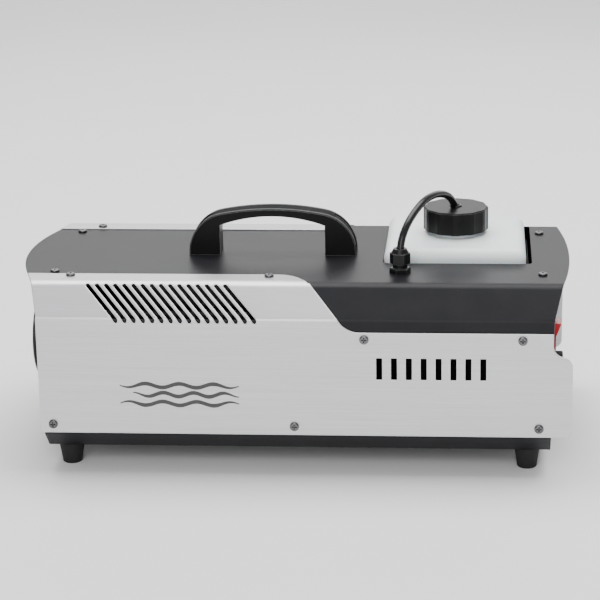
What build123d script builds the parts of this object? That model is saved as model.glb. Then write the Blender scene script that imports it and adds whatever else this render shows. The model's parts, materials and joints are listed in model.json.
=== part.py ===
from build123d import *
import math
import os

# Fog machine: a folded sheet-metal case on four rubber feet, with a heater and a fluid pump inside,
# a translucent fluid tank let into the cover, a carrying handle on top and a fog nozzle in front.
# Millimetres.  +X points to the rear (the switch end), -X is the way the fog leaves, +Z is up.
# The origin is at floor level, below the middle of the case.

# ---------------------------------------------------------------- driving dimensions: case
LENGTH = 509.5            # tip of the front visor to tip of the rear visor
WIDTH = 256.0             # over the outer faces of the two side panels
TOP = 175.0               # outer face of the side panels' top flanges
CHAMFER = 27.0            # 45 degree slope along each top edge
FOOT_HEIGHT = 20.0
BELLY = 19.0              # 45 degree slope along each bottom edge
SILVER = 1.0              # sheet of the side panels
BLACK = 1.2               # sheet of the cover, the tray and the end panels
LAP = 0.05                # gap between two sheets that lie on each other

HALF = WIDTH / 2
TIP = LENGTH / 2
PANEL_BASE = FOOT_HEIGHT + BELLY          # bottom edge of the side panels
PANEL_FRONT = -225.25                     # front edge of the side panels' upright faces
PANEL_REAR = 237.25                       # rear edge of the upright faces above the tab
VISOR_RADIUS = 215.0                      # front edge of the cover, seen from above
VISOR_REACH = 65.4                        # half width over which that edge is an arc
REAR_RADIUS = 577.0                       # rear edge of the cover, seen from above
FLANGE = 78.0                             # the panels' top flanges start this far from the middle
FRONT_PLATE = -222.4                      # outer face of the front panel
REAR_PLATE = 236.25                       # outer face of the rear panel
SKIRT_BASE = 118.0                        # lower edge of the cover's skirts
TRAY_TOP = 64.0                           # upper edge of the tray's flanges

# ---------------------------------------------------------------- driving dimensions: fittings
SCREW_R = 1.95            # M4 shank
SCREW_HOLE = 2.2
HEAD_R = 4.2
HEAD_H = 2.2
SIDE_SCREWS = [(-213.75, 47.3), (5.75, 47.3), (225.25, 47.3), (69.25, 130.0), (210.05, 130.0)]
FLANGE_SCREWS = {-1: [-200.05, -18.65], 1: [-200.05, -100.0]}     # left panel, right panel
FLANGE_SCREW_Y = 84.0
COVER_SCREWS = [(-217.5, 69.0), (228.5, 70.5)]
FEET = [(-203.95, -97), (-203.95, 97), (215.55, -97), (215.55, 97)]

SLOT_COUNT = 16
SLOT_WIDTH = 3.6
SLOT_PITCH = 8.3
SLOT_START = (-180.95, 27.5)              # X, and the distance down the sheet from its top edge
SLOT_END = (-152.65, 62.4)
VENT_COUNT = 8
VENT_PITCH = 13.24
VENT_SIZE = (5.4, 20.3)
VENT_FIRST = (82.55, 102.5)

HANDLE_X = -22.5
HANDLE_Y = 11.0                           # half width of the handle
HANDLE_RISE = 44.6

TANK_X = (82.75, 214.25)
TANK_Y = (-33.0, 96.5)
TANK_Z = (27.0, 186.0)
TANK_WALL = 2.4
TANK_OPENING_X = (82.25, 219.55)
TANK_OPENING_Y = (-35.0, 99.0)
CAP_X = (TANK_X[0] + TANK_X[1]) / 2
CAP_Y = 33.0
NECK_TOP = 202.0
CAP_BASE = 189.6
CAP_TOP = 211.2
CAP_R = 30.7
CAP_HOLE = 6.2

GLAND = (99.15, -64.5)
HOSE_R = 3.4
NOZZLE_Z = 90.9
NOZZLE_R = 38.5
NOZZLE_TIP = -249.25

SWITCH = (-60.0, 115.5)                   # Y, Z of the rocker's pivot
ROCKER_LEAN = 10.5                        # tilt of the rocker at rest, and half of its V
INLET = (-80.0, 68.0)
FUSE = (-100.0, 105.0)
REMOTE = (-30.0, 68.0)

PUMP = (-20.0, NOZZLE_Z)                  # Y, Z of the pump's axis
PUMP_COIL = (8.0, 44.0)
HEATER_X = (-205.0, -45.0)
HEATER_Y = 33.0
HEATER_Z = 26.0

SKIN = TOP - SILVER - LAP                 # outer face of the cover
CEILING = SKIN - BLACK                    # inner face of the cover
FLOOR = FOOT_HEIGHT + BLACK               # inner face of the tray's bottom
UNDER = SILVER + LAP                      # the cover's depth below the side panels' outer faces
DIAG = math.sqrt(2) - 1

os.makedirs("parts", exist_ok=True)


def write(piece, name):
    piece.part.label = name
    export_step(piece.part, f"parts/{name}.step")


# ---------------------------------------------------------------- sheet-metal helpers
def crease(depth):
    """The top crease's Y and the lower crease's Z on a sheet face that lies depth below the outside."""
    return HALF - CHAMFER - depth * DIAG, TOP - CHAMFER - depth * DIAG


def hood_path(depth, low):
    """Left side up, over the top and down the right side, depth below the outside."""
    y, z = crease(depth)
    side, top = HALF - depth, TOP - depth
    return [(-side, low), (-side, z), (-y, top), (y, top), (side, z), (side, low)]


def panel_path(depth, low):
    """One side panel's section, from the bottom edge up to the inner edge of its top flange."""
    y, z = crease(depth)
    return [(-HALF + depth, low), (-HALF + depth, z), (-y, TOP - depth), (-FLANGE, TOP - depth)]


def bent_sheet(outer, outer_radii, inner, inner_radii):
    """The section of a folded sheet between its outer and inner faces."""
    with BuildLine() as section:
        a = FilletPolyline(*outer, radius=outer_radii)
        b = FilletPolyline(*inner, radius=inner_radii)
        Line(a @ 0, b @ 0)
        Line(a @ 1, b @ 1)
    make_face(section.edges())


def visor_slope():
    """Angle of the front edge's straight ends."""
    return math.asin(VISOR_REACH / VISOR_RADIUS)


def visor_x(y):
    """X of the cover's front edge at a distance y from the middle."""
    if y <= VISOR_REACH:
        return -TIP + VISOR_RADIUS - math.sqrt(VISOR_RADIUS**2 - y**2)
    start = -TIP + VISOR_RADIUS * (1 - math.cos(visor_slope()))
    return start + (y - VISOR_REACH) * math.tan(visor_slope())


def plan_outline():
    """The cover seen from above: a round front edge with straight ends, and a shallow rear arc."""
    y = HALF - CHAMFER
    rear = TIP - REAR_RADIUS + math.sqrt(REAR_RADIUS**2 - y**2)
    with BuildLine() as outline:
        front = ThreePointArc(
            (visor_x(VISOR_REACH), -VISOR_REACH), (-TIP, 0), (visor_x(VISOR_REACH), VISOR_REACH)
        )
        Line(front @ 1, (visor_x(HALF), HALF))
        Line(front @ 0, (visor_x(HALF), -HALF))
        back = ThreePointArc((rear, -y), (TIP, 0), (rear, y))
        Line(back @ 0, (PANEL_REAR, -HALF))
        Line(back @ 1, (PANEL_REAR, HALF))
        Line((visor_x(HALF), HALF), (PANEL_REAR, HALF))
        Line((visor_x(HALF), -HALF), (PANEL_REAR, -HALF))
    make_face(outline.edges())


# ---------------------------------------------------------------- case
def top_cover():
    """Black folded cover: roof, two slopes and two skirts, with a visor at each end."""
    inner_depth = UNDER + BLACK
    with BuildPart() as cover:
        with BuildSketch(Plane.YZ.offset(-TIP)):
            bent_sheet(hood_path(UNDER, SKIRT_BASE), [4, 12, 12, 4],
                       hood_path(inner_depth, SKIRT_BASE), [2.8, 10.8, 10.8, 2.8])
        extrude(amount=LENGTH)
        with BuildSketch():
            plan_outline()
        extrude(amount=TOP, mode=Mode.INTERSECT)
        with BuildSketch(Plane.XY.offset(CEILING - 4)):
            with BuildLine():
                Polyline(
                    (TANK_OPENING_X[0], TANK_OPENING_Y[0]), (TANK_OPENING_X[1], TANK_OPENING_Y[0]),
                    (TANK_OPENING_X[1], TANK_OPENING_Y[1]), (TANK_OPENING_X[0], TANK_OPENING_Y[1]),
                    close=True,
                )
            opening = make_face()
            fillet(opening.vertices(), 5)
            with Locations(GLAND):
                Circle(7.2)
            with Locations((HANDLE_X - 64, 0), (HANDLE_X + 64, 0)):
                Circle(3.3)
            with Locations(*[(x, s * y) for x, y in COVER_SCREWS for s in (-1, 1)]):
                Circle(SCREW_HOLE)
            with Locations(*[(x, s * FLANGE_SCREW_Y) for s in (-1, 1) for x in FLANGE_SCREWS[s]]):
                Circle(SCREW_HOLE)
        extrude(amount=8, mode=Mode.SUBTRACT)
        with BuildSketch(Plane.XZ.offset(-HALF)):
            with Locations(*[p for p in SIDE_SCREWS if p[1] > SKIRT_BASE]):
                Circle(SCREW_HOLE)
        extrude(amount=WIDTH, mode=Mode.SUBTRACT)
        heater_window()
    write(cover, "top_cover")


def slope_plane(side):
    """A plane on the left (-1) or right (+1) slope: x along +X, origin at the top crease."""
    normal = (0, side, 1)
    return Plane(origin=(0, side * (HALF - CHAMFER), TOP), x_dir=(1, 0, 0), z_dir=normal)


def heater_window():
    """One long window in each slope of the cover, behind the side panels' slanted slots."""
    first = SLOT_START[0] - 8
    last = SLOT_END[0] + (SLOT_COUNT - 1) * SLOT_PITCH + 8
    for side in (-1, 1):
        with BuildSketch(slope_plane(side).offset(-6)) as window:
            with Locations(((first + last) / 2, side * 20.8)):
                RectangleRounded(last - first, 34, 4)
        extrude(window.sketch, amount=8, mode=Mode.SUBTRACT)


WAVE_MID = (33.75, 45.0)                  # a point on the straight part of the edge: X, s
WAVE_SHIFT = {-1: 0.0, 1: 28.0}           # the right panel's wave lies further back
WAVE_DROP = 72.9                          # s of the rear half's horizontal edge
WAVE_R1 = 25.0
WAVE_R2 = 22.0
FLANGE_RUN = HALF - CHAMFER - FLANGE      # flange, from its inner edge to the top crease
SLOPE_RUN = CHAMFER * math.sqrt(2)        # slope, from crease to crease


def wave_x(s, side):
    """X of a side panel's wave-shaped edge, s down the sheet from the flange's inner edge.

    The edge leaves the flange's inner edge in a round bend, runs straight down the slope and turns
    in a second round bend into the horizontal edge of the rear half.
    """
    lean = math.radians(54)
    low = WAVE_DROP
    middle = WAVE_MID[0] + WAVE_SHIFT[side]
    at = middle + (s - WAVE_MID[1]) / math.tan(lean)
    first_x = middle - WAVE_MID[1] / math.tan(lean)
    last_x = middle + (low - WAVE_MID[1]) / math.tan(lean)
    reach = math.tan(lean / 2)
    if s < WAVE_R1 * reach * math.sin(lean):
        return first_x - WAVE_R1 * reach + math.sqrt(max(WAVE_R1**2 - (WAVE_R1 - s) ** 2, 0))
    if low - s < WAVE_R2 * reach * math.sin(lean):
        up = low - s
        return last_x + WAVE_R2 * reach - math.sqrt(max(WAVE_R2**2 - (WAVE_R2 - up) ** 2, 0))
    return at


def wave_plan(side):
    """What the wave cuts away from the flange, seen from above."""
    points = []
    for i in range(17):
        s = 0.02 + (FLANGE_RUN - 0.02) * i / 16
        points.append((wave_x(s, side), -FLANGE - s))
    with BuildLine() as outline:
        edge = Spline(*points)
        Polyline(edge @ 1, (TIP + 5, (edge @ 1).Y), (TIP + 5, -FLANGE + 5),
                 ((edge @ 0).X, -FLANGE + 5), edge @ 0)
    make_face(outline.edges())


def wave_side(side):
    """What the wave cuts away from the slope and the upright face, seen from the side."""
    turn = FLANGE_RUN + SLOPE_RUN
    slope = []
    upright = []
    for i in range(13):
        s = FLANGE_RUN + SLOPE_RUN * i / 12
        slope.append((wave_x(s, side), TOP - (s - FLANGE_RUN) / math.sqrt(2)))
        s = turn + (WAVE_DROP - turn) * i / 12
        upright.append((wave_x(s, side), TOP - CHAMFER - (s - turn)))
    with BuildLine() as outline:
        upper = Spline(*slope)
        lower = Spline(*upright)
        Polyline(lower @ 1, (TIP + 5, (lower @ 1).Y), (TIP + 5, TOP + 1), ((upper @ 0).X, TOP + 1),
                 upper @ 0)
    make_face(outline.edges())


TAB_TOP = 104.0                           # the rear tab reaches its full length below this height
TAB_NECK = 125.6                          # and starts to swell below this one


def side_outline():
    """A side panel seen from the side: straight front, and a rear edge that swells into a tab."""
    half_way = ((PANEL_REAR + TIP) / 2, (TAB_TOP + TAB_NECK) / 2)
    with BuildLine() as outline:
        swell = TangentArc((PANEL_REAR, TAB_NECK), half_way, tangent=(0, -1))
        bulge = TangentArc(half_way, (TIP, TAB_TOP), tangent=swell % 1)
        Line(bulge @ 1, (TIP, PANEL_BASE + 9))
        corner = TangentArc((TIP, PANEL_BASE + 9), (TIP - 9, PANEL_BASE), tangent=(0, -1))
        Polyline(corner @ 1, (-TIP - 5, PANEL_BASE), (-TIP - 5, TOP + 5), (PANEL_REAR, TOP + 5),
                 swell @ 0)
    make_face(outline.edges())


def side_panel(name, side):
    """Silver side panel: upright face, slope and top flange, with vents and a wave-shaped edge."""
    with BuildPart() as panel:
        with BuildSketch(Plane.YZ.offset(-TIP)):
            bent_sheet(panel_path(0, PANEL_BASE), [5, 13], panel_path(SILVER, PANEL_BASE), [4, 12])
        extrude(amount=LENGTH)
        with BuildSketch(Plane.XZ):
            side_outline()
        extrude(amount=WIDTH, mode=Mode.INTERSECT)
        with BuildSketch():
            with BuildLine():
                y = HALF - 2.5
                Polyline((-TIP, 0), (visor_x(VISOR_REACH), -VISOR_REACH), (visor_x(y), -y),
                         (PANEL_FRONT, -y), (PANEL_FRONT, -HALF - 1), (-TIP - 5, -HALF - 1),
                         (-TIP - 5, 0), close=True)
            make_face()
        extrude(amount=TOP, mode=Mode.SUBTRACT)
        with BuildSketch(Plane.XY.offset(TOP - 4)):
            wave_plan(side)
        extrude(amount=8, mode=Mode.SUBTRACT)
        with BuildSketch(Plane.XZ.offset(HALF - CHAMFER)):
            wave_side(side)
        extrude(amount=CHAMFER + 4, mode=Mode.SUBTRACT)
        slanted_slots()
        with BuildSketch(Plane.XZ.offset(HALF - 4)):
            with Locations(*[(VENT_FIRST[0] + i * VENT_PITCH, VENT_FIRST[1])
                             for i in range(VENT_COUNT)]):
                RectangleRounded(*VENT_SIZE, 0.6)
            with Locations(*SIDE_SCREWS):
                Circle(SCREW_HOLE)
        extrude(amount=8, mode=Mode.SUBTRACT)
        with BuildSketch(Plane.XY.offset(TOP - 4)):
            with Locations(*[(x, -FLANGE_SCREW_Y) for x in FLANGE_SCREWS[side]]):
                Circle(SCREW_HOLE)
        extrude(amount=8, mode=Mode.SUBTRACT)
        if side > 0:
            mirror(about=Plane.XZ, mode=Mode.REPLACE)
    write(panel, name)


def slanted_slots():
    """A row of round-ended slots across the left slope."""
    plane = slope_plane(-1)
    across = SLOT_END[0] - SLOT_START[0]
    down = SLOT_END[1] - SLOT_START[1]
    middle = (SLOT_START[1] + SLOT_END[1]) / 2 - FLANGE_RUN
    with BuildSketch(plane.offset(-8)) as slots:
        with Locations(*[(SLOT_START[0] + across / 2 + i * SLOT_PITCH, -middle)
                         for i in range(SLOT_COUNT)]):
            SlotCenterToCenter(math.hypot(across, down), SLOT_WIDTH,
                               rotation=-math.degrees(math.atan2(down, across)))
    extrude(slots.sketch, amount=12, mode=Mode.SUBTRACT)


def base_tray():
    """Black tray: flat bottom, two 45 degree slopes and two upright flanges."""
    def path(depth):
        side = HALF - UNDER - depth
        low = FOOT_HEIGHT + depth
        knee = HALF - PANEL_BASE - depth * (DIAG + 1)
        return [(-side, TRAY_TOP), (-side, side - knee), (-knee - low, low),
                (knee + low, low), (side, side - knee), (side, TRAY_TOP)]
    front = FRONT_PLATE + BLACK + LAP
    rear = REAR_PLATE - BLACK - LAP
    with BuildPart() as tray:
        with BuildSketch(Plane.YZ.offset(front)):
            bent_sheet(path(0), [3, 3, 3, 3], path(BLACK), [1.8, 1.8, 1.8, 1.8])
        extrude(amount=rear - front)
        with BuildSketch(Plane.XZ.offset(-HALF)):
            with Locations(*[p for p in SIDE_SCREWS if p[1] < SKIRT_BASE]):
                Circle(SCREW_HOLE)
        extrude(amount=WIDTH, mode=Mode.SUBTRACT)
        with BuildSketch(Plane.XY.offset(FOOT_HEIGHT - 1)):
            with Locations(*FEET):
                Circle(SCREW_HOLE)
        extrude(amount=4, mode=Mode.SUBTRACT)
    write(tray, "base_tray")


def end_outline():
    """An end panel inside the cover and over the tray's end."""
    depth = UNDER + BLACK + 0.3
    y, z = crease(depth)
    side = HALF - depth
    knee = HALF - PANEL_BASE
    with BuildLine() as outline:
        FilletPolyline((-side, side - knee), (-side, z), (-y, TOP - depth), (y, TOP - depth),
                       (side, z), (side, side - knee), (knee + FOOT_HEIGHT, FOOT_HEIGHT),
                       (-knee - FOOT_HEIGHT, FOOT_HEIGHT), close=True,
                       radius=[3, 3, 11, 11, 3, 3, 3, 3])
    make_face(outline.edges())


def top_lip(x, depth_x):
    """The folded lip along an end panel's top edge, which the cover is screwed to."""
    with BuildSketch(Plane.XY.offset(CEILING - 0.3 - BLACK)) as lip:
        with Locations((x, 0)):
            Rectangle(depth_x, 2 * 82)
    extrude(lip.sketch, amount=BLACK)
    with BuildSketch(Plane.XY.offset(CEILING - 4)) as holes:
        with Locations(*[(sx, s * y) for sx, y in COVER_SCREWS for s in (-1, 1)]):
            Circle(SCREW_HOLE)
    extrude(holes.sketch, amount=8, mode=Mode.SUBTRACT)


def front_panel():
    with BuildPart() as panel:
        with BuildSketch(Plane.YZ.offset(FRONT_PLATE)):
            end_outline()
            with Locations((0, NOZZLE_Z)):
                Circle(32, mode=Mode.SUBTRACT)
                with PolarLocations(RING_PCD / 2, 4, start_angle=45):
                    Circle(RING_SCREW_R + 0.25, mode=Mode.SUBTRACT)
        extrude(amount=BLACK)
        top_lip(FRONT_PLATE + 6.5, 13)
    write(panel, "front_panel")


def rear_panel():
    with BuildPart() as panel:
        with BuildSketch(Plane.YZ.offset(REAR_PLATE - BLACK)):
            end_outline()
            with Locations(SWITCH):
                Rectangle(22.0, 28.4, mode=Mode.SUBTRACT)
            with Locations(INLET):
                Rectangle(27.6, 20.6, mode=Mode.SUBTRACT)
            with Locations((INLET[0] - 20, INLET[1]), (INLET[0] + 20, INLET[1])):
                Circle(RING_SCREW_R + 0.25, mode=Mode.SUBTRACT)
            with Locations(FUSE):
                Circle(6.5, mode=Mode.SUBTRACT)
            with Locations(REMOTE):
                Circle(8.2, mode=Mode.SUBTRACT)
        extrude(amount=BLACK)
        top_lip(REAR_PLATE - 7, 14)
    write(panel, "rear_panel")


# ---------------------------------------------------------------- fasteners
def pan_screw(head_r, head_h, shank_r, length):
    """A pan-head cross-recess screw inside the current part, its head on the plane and shank below."""
    Cylinder(head_r, head_h, align=(Align.CENTER, Align.CENTER, Align.MIN))
    fillet(edges().group_by(Axis.Z)[-1], head_h * 0.6)
    Cylinder(shank_r, length, align=(Align.CENTER, Align.CENTER, Align.MAX))
    with Locations((0, 0, head_h * 0.45)):
        for size in ((head_r * 1.15, head_r * 0.26), (head_r * 0.26, head_r * 1.15)):
            Box(*size, head_h, align=(Align.CENTER, Align.CENTER, Align.MIN), mode=Mode.SUBTRACT)


def screw_group(name, planes, head_r=HEAD_R, head_h=HEAD_H, shank_r=SCREW_R, length=7.0):
    """Identical screws, one on each plane, as one node of separate solids."""
    with BuildPart() as screw:
        pan_screw(head_r, head_h, shank_r, length)
    with BuildPart() as group:
        with Locations(*[plane.location for plane in planes]):
            add(screw.part)
    write(group, name)


def side_screw_planes(side):
    upright = [Plane(origin=(x, side * (HALF + LAP), z), x_dir=(1, 0, 0), z_dir=(0, side, 0))
               for x, z in SIDE_SCREWS]
    flat = [Plane.XY.offset(TOP + LAP).move(Location((x, side * FLANGE_SCREW_Y, 0)))
            for x in FLANGE_SCREWS[side]]
    return upright + flat


def cover_screw_planes():
    return [Plane.XY.offset(SKIN + LAP).move(Location((x, s * y, 0)))
            for x, y in COVER_SCREWS for s in (-1, 1)]


def fasteners():
    screw_group("panel_screws", side_screw_planes(-1) + side_screw_planes(1))
    screw_group("cover_screws", cover_screw_planes())
    screw_group("foot_screws", [Plane(origin=(x, y, 8.85), x_dir=(1, 0, 0), z_dir=(0, 0, -1))
                                for x, y in FEET], head_r=3.8, length=15.4)
    ring = [Plane(origin=(RING_BASE - LAP, RING_PCD / 2 * math.cos(a),
                          NOZZLE_Z + RING_PCD / 2 * math.sin(a)), x_dir=(0, 1, 0), z_dir=(-1, 0, 0))
            for a in (math.radians(45 + 90 * i) for i in range(4))]
    inlet = [Plane(origin=(REAR_PLATE + 2.6 + LAP, INLET[0] + dy, INLET[1]), x_dir=(0, 1, 0),
                   z_dir=(1, 0, 0)) for dy in (-20, 20)]
    screw_group("small_screws", ring + inlet, 2.8, 1.6, RING_SCREW_R, 6)


def foot_nuts():
    with BuildPart() as nuts:
        with BuildSketch(Plane.XY.offset(FLOOR + LAP)):
            with Locations(*FEET):
                RegularPolygon(4.0, 6)
                Circle(SCREW_R + 0.05, mode=Mode.SUBTRACT)
        extrude(amount=3.2)
    write(nuts, "foot_nuts")


def rubber_feet():
    """Four conical rubber feet, each with a pocket for its screw."""
    with BuildPart() as foot:
        with BuildSketch(Plane.XZ):
            with BuildLine():
                Polyline((SCREW_HOLE, 8.9), (4.4, 8.9), (4.4, 0), (8.2, 0), (9.0, 0.8),
                         (11.6, FOOT_HEIGHT - 2), (12, FOOT_HEIGHT - LAP),
                         (SCREW_HOLE, FOOT_HEIGHT - LAP), close=True)
            make_face()
        revolve(axis=Axis.Z)
    with BuildPart() as feet:
        with Locations(*FEET):
            add(foot.part)
    write(feet, "rubber_feet")


# ---------------------------------------------------------------- handle
CROWN_R = 250.0                           # arc along the top of the handle
CROWN_HALF = 48.0                         # half length of that arc
SHOULDER_R = 37.87
FINGER_HALF = 49.2                        # half length of the finger opening
FINGER_SIDE = 28.9                        # height of the opening at its ends
FINGER_MID = 37.6                         # and in the middle
GRIP_HALF = 58.0
CHANNEL_HALF = 7.6
CHANNEL_DEEP = 1.8


def bow_outline(inset, mode=Mode.ADD):
    """The handle's outer outline, seen from the side, moved inwards by inset."""
    tilt = math.asin(CROWN_HALF / CROWN_R)
    sweep_angle = 90 - math.degrees(tilt)
    base = SKIN + LAP
    middle = base + HANDLE_RISE - CROWN_R
    dx, dz = (CROWN_R - SHOULDER_R) * math.sin(tilt), (CROWN_R - SHOULDER_R) * math.cos(tilt)
    with BuildLine() as outline:
        CenterArc((HANDLE_X, middle), CROWN_R - inset, sweep_angle, 2 * math.degrees(tilt))
        rear = CenterArc((HANDLE_X + dx, middle + dz), SHOULDER_R - inset, 0, sweep_angle)
        front = CenterArc((HANDLE_X - dx, middle + dz), SHOULDER_R - inset,
                          180 - sweep_angle, sweep_angle)
        Polyline(rear @ 0, ((rear @ 0).X, base), ((front @ 1).X, base), front @ 1)
    make_face(outline.edges(), mode=mode)


def finger_outline():
    """The finger opening, seen from the side: straight legs under a shallow arch."""
    base = SKIN + LAP
    with BuildLine() as outline:
        arch = ThreePointArc((HANDLE_X - FINGER_HALF, base + FINGER_SIDE),
                             (HANDLE_X, base + FINGER_MID),
                             (HANDLE_X + FINGER_HALF, base + FINGER_SIDE))
        Polyline(arch @ 0, (HANDLE_X - FINGER_HALF, base - 5), (HANDLE_X + FINGER_HALF, base - 5),
                 arch @ 1)
    make_face(outline.edges())


def handle():
    """Moulded bow handle with a channel along its back and a screw hole up each leg."""
    with BuildPart() as bow:
        with BuildSketch(Plane.XZ):
            bow_outline(0)
        extrude(amount=HANDLE_Y, both=True)
        sides = bow.faces().filter_by(Axis.Y)
        chamfer(sides.edges().filter_by(lambda e: e.center().Z > SKIN + 1), 0.9)
        with BuildSketch(Plane.XZ):
            finger_outline()
        extrude(amount=HANDLE_Y + 1, both=True, mode=Mode.SUBTRACT)
        with BuildSketch(Plane.XZ):
            bow_outline(-2)
            bow_outline(CHANNEL_DEEP, Mode.SUBTRACT)
        extrude(amount=CHANNEL_HALF, both=True, mode=Mode.SUBTRACT)
        with BuildSketch(Plane.XY.offset(SKIN)):
            with Locations((HANDLE_X - 64, 0), (HANDLE_X + 64, 0)):
                Circle(2.75)
        extrude(amount=13, mode=Mode.SUBTRACT)
    write(bow, "handle")


def handle_grip():
    """Soft grip band that lies in the handle's channel over the bar."""
    with BuildPart() as grip:
        with BuildSketch(Plane.XZ):
            bow_outline(0.3)
            bow_outline(CHANNEL_DEEP - 0.05, Mode.SUBTRACT)
            with Locations((HANDLE_X, SKIN + HANDLE_RISE)):
                Rectangle(2 * GRIP_HALF, 60, mode=Mode.INTERSECT)
        extrude(amount=CHANNEL_HALF - 0.2, both=True)
    write(grip, "handle_grip")


def handle_screws():
    """M5 screws from inside the case, with washers, one up each leg."""
    with BuildPart() as screws:
        with BuildSketch(Plane.XY.offset(CEILING - 0.1)):
            with Locations((HANDLE_X - 64, 0), (HANDLE_X + 64, 0)):
                Circle(6)
        extrude(amount=-1.2)
        with BuildSketch(Plane.XY.offset(CEILING - 1.2)):
            with Locations((HANDLE_X - 64, 0), (HANDLE_X + 64, 0)):
                Circle(4.6)
        extrude(amount=-3)
        with BuildSketch(Plane.XY.offset(CEILING - 1.2)):
            with Locations((HANDLE_X - 64, 0), (HANDLE_X + 64, 0)):
                Circle(2.5)
        extrude(amount=14)
    write(screws, "handle_screws")


# ---------------------------------------------------------------- tank, cap and hose
def tank_body(grow, low, high, corner, shoulder):
    """A rounded block with the tank's plan, grown outwards, between two heights."""
    with BuildSketch(Plane.XY.offset(low)) as plan:
        with Locations((CAP_X, (TANK_Y[0] + TANK_Y[1]) / 2)):
            RectangleRounded(TANK_X[1] - TANK_X[0] + 2 * grow, TANK_Y[1] - TANK_Y[0] + 2 * grow,
                             corner)
    extrude(plan.sketch, amount=high - low)
    fillet(edges().group_by(Axis.Z)[-1], shoulder)
    fillet(edges().group_by(Axis.Z)[0], 5)


def tank():
    """Blow-moulded fluid tank: thin walls, round shoulders and a threaded neck."""
    w = TANK_WALL
    with BuildPart() as hollow:
        tank_body(-w, TANK_Z[0] + w, TANK_Z[1] - w, 5.6, 7.6)
    with BuildPart() as shell:
        tank_body(0, TANK_Z[0], TANK_Z[1], 8, 10)
        add(hollow.part, mode=Mode.SUBTRACT)
        with BuildSketch(Plane.XY.offset(TANK_Z[1] - w)):
            with Locations((CAP_X, CAP_Y)):
                Circle(23)
        extrude(amount=NECK_TOP - TANK_Z[1] + w)
        with Locations((CAP_X, CAP_Y, 191.5), (CAP_X, CAP_Y, 196.5)):
            Cylinder(24.5, 1.6)
        with BuildSketch(Plane.XY.offset(TANK_Z[1] - 8)):
            with Locations((CAP_X, CAP_Y)):
                Circle(20.5)
        extrude(amount=40, mode=Mode.SUBTRACT)
    write(shell, "tank")


def tank_cap():
    """Screw cap with twelve shallow flutes round its side and a hole for the hose."""
    flutes = 12
    cutter = 45.0
    with BuildPart() as cap:
        with BuildSketch(Plane.XY.offset(CAP_BASE)):
            with Locations((CAP_X, CAP_Y)):
                Circle(CAP_R)
                with PolarLocations(CAP_R + cutter - 0.9, flutes, start_angle=15):
                    Circle(cutter, mode=Mode.SUBTRACT)
        extrude(amount=CAP_TOP - CAP_BASE)
        chamfer(edges().group_by(Axis.Z)[-1], 1.2)
        with BuildSketch(Plane.XY.offset(CAP_BASE)):
            with Locations((CAP_X, CAP_Y)):
                Circle(25.3)
        extrude(amount=16.2, mode=Mode.SUBTRACT)
        with BuildSketch(Plane.XY.offset(CAP_BASE)):
            with Locations((CAP_X, CAP_Y)):
                Circle(CAP_HOLE)
        extrude(amount=30, mode=Mode.SUBTRACT)
    write(cap, "tank_cap")


def cap_bush():
    """Bush that the cap turns on: it seals the neck and joins the hose to the pickup tube."""
    with BuildPart() as bush:
        with Locations((CAP_X, CAP_Y, NECK_TOP + 0.1)):
            Cylinder(22.5, 2.2, align=(Align.CENTER, Align.CENTER, Align.MIN))
            Cylinder(CAP_HOLE - 0.5, 2.5, align=(Align.CENTER, Align.CENTER, Align.MIN))
            Cylinder(6, 6, align=(Align.CENTER, Align.CENTER, Align.MAX))
    write(bush, "cap_bush")


def pickup_tube():
    with BuildPart() as tube:
        with BuildSketch(Plane.XY.offset(42)):
            with Locations((CAP_X, CAP_Y)):
                Circle(3)
                Circle(2, mode=Mode.SUBTRACT)
        extrude(amount=NECK_TOP - 6 - 42)
    write(tube, "pickup_tube")


def pickup_filter():
    """Weighted strainer on the lower end of the pickup tube."""
    with BuildPart() as weight:
        with BuildSketch(Plane.XY.offset(32)):
            with Locations((CAP_X, CAP_Y)):
                Circle(7)
        extrude(amount=20)
        fillet(edges().group_by(Axis.Z)[-1], 3)
        with BuildSketch(Plane.XY.offset(31)):
            with Locations((CAP_X, CAP_Y)):
                Circle(5)
        extrude(amount=9, mode=Mode.SUBTRACT)
        with BuildSketch(Plane.XY.offset(31)):
            with Locations((CAP_X, CAP_Y)):
                Circle(3.1)
        extrude(amount=30, mode=Mode.SUBTRACT)
    write(weight, "pickup_filter")


def gland_body():
    """Nylon cable-gland body: a hexagon on the cover, a threaded stub through it and a neck above."""
    with BuildPart() as body:
        with BuildSketch(Plane.XY.offset(SKIN + LAP)):
            with Locations(GLAND):
                RegularPolygon(8.5, 6, major_radius=False, rotation=10)
        extrude(amount=4.8)
        chamfer(edges().group_by(Axis.Z)[-1], 0.8)
        with BuildSketch(Plane.XY.offset(SKIN - 10)):
            with Locations(GLAND):
                Circle(6.9)
        extrude(amount=18.5)
        with BuildSketch(Plane.XY.offset(SKIN - 11)):
            with Locations(GLAND):
                Circle(4.2)
        extrude(amount=30, mode=Mode.SUBTRACT)
    write(body, "gland_body")


def gland_nut():
    """Domed compression nut that grips the hose."""
    base = SKIN + 8.9
    with BuildPart() as nut:
        with BuildSketch(Plane.XY.offset(base)):
            with Locations(GLAND):
                RegularPolygon(8.2, 6, major_radius=False, rotation=-5)
        extrude(amount=9.6)
        with BuildSketch(Plane.XY.offset(base + 9.6)):
            with Locations(GLAND):
                Circle(8.1)
        with BuildSketch(Plane.XY.offset(base + 13.8)):
            with Locations(GLAND):
                Circle(5.9)
        loft()
        with BuildSketch(Plane.XY.offset(base - 1)):
            with Locations(GLAND):
                Circle(HOSE_R + 0.3)
        extrude(amount=30, mode=Mode.SUBTRACT)
        with BuildSketch(Plane.XY.offset(base - 1)):
            with Locations(GLAND):
                Circle(6.6)
        extrude(amount=9, mode=Mode.SUBTRACT)
    write(nut, "gland_nut")


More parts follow.
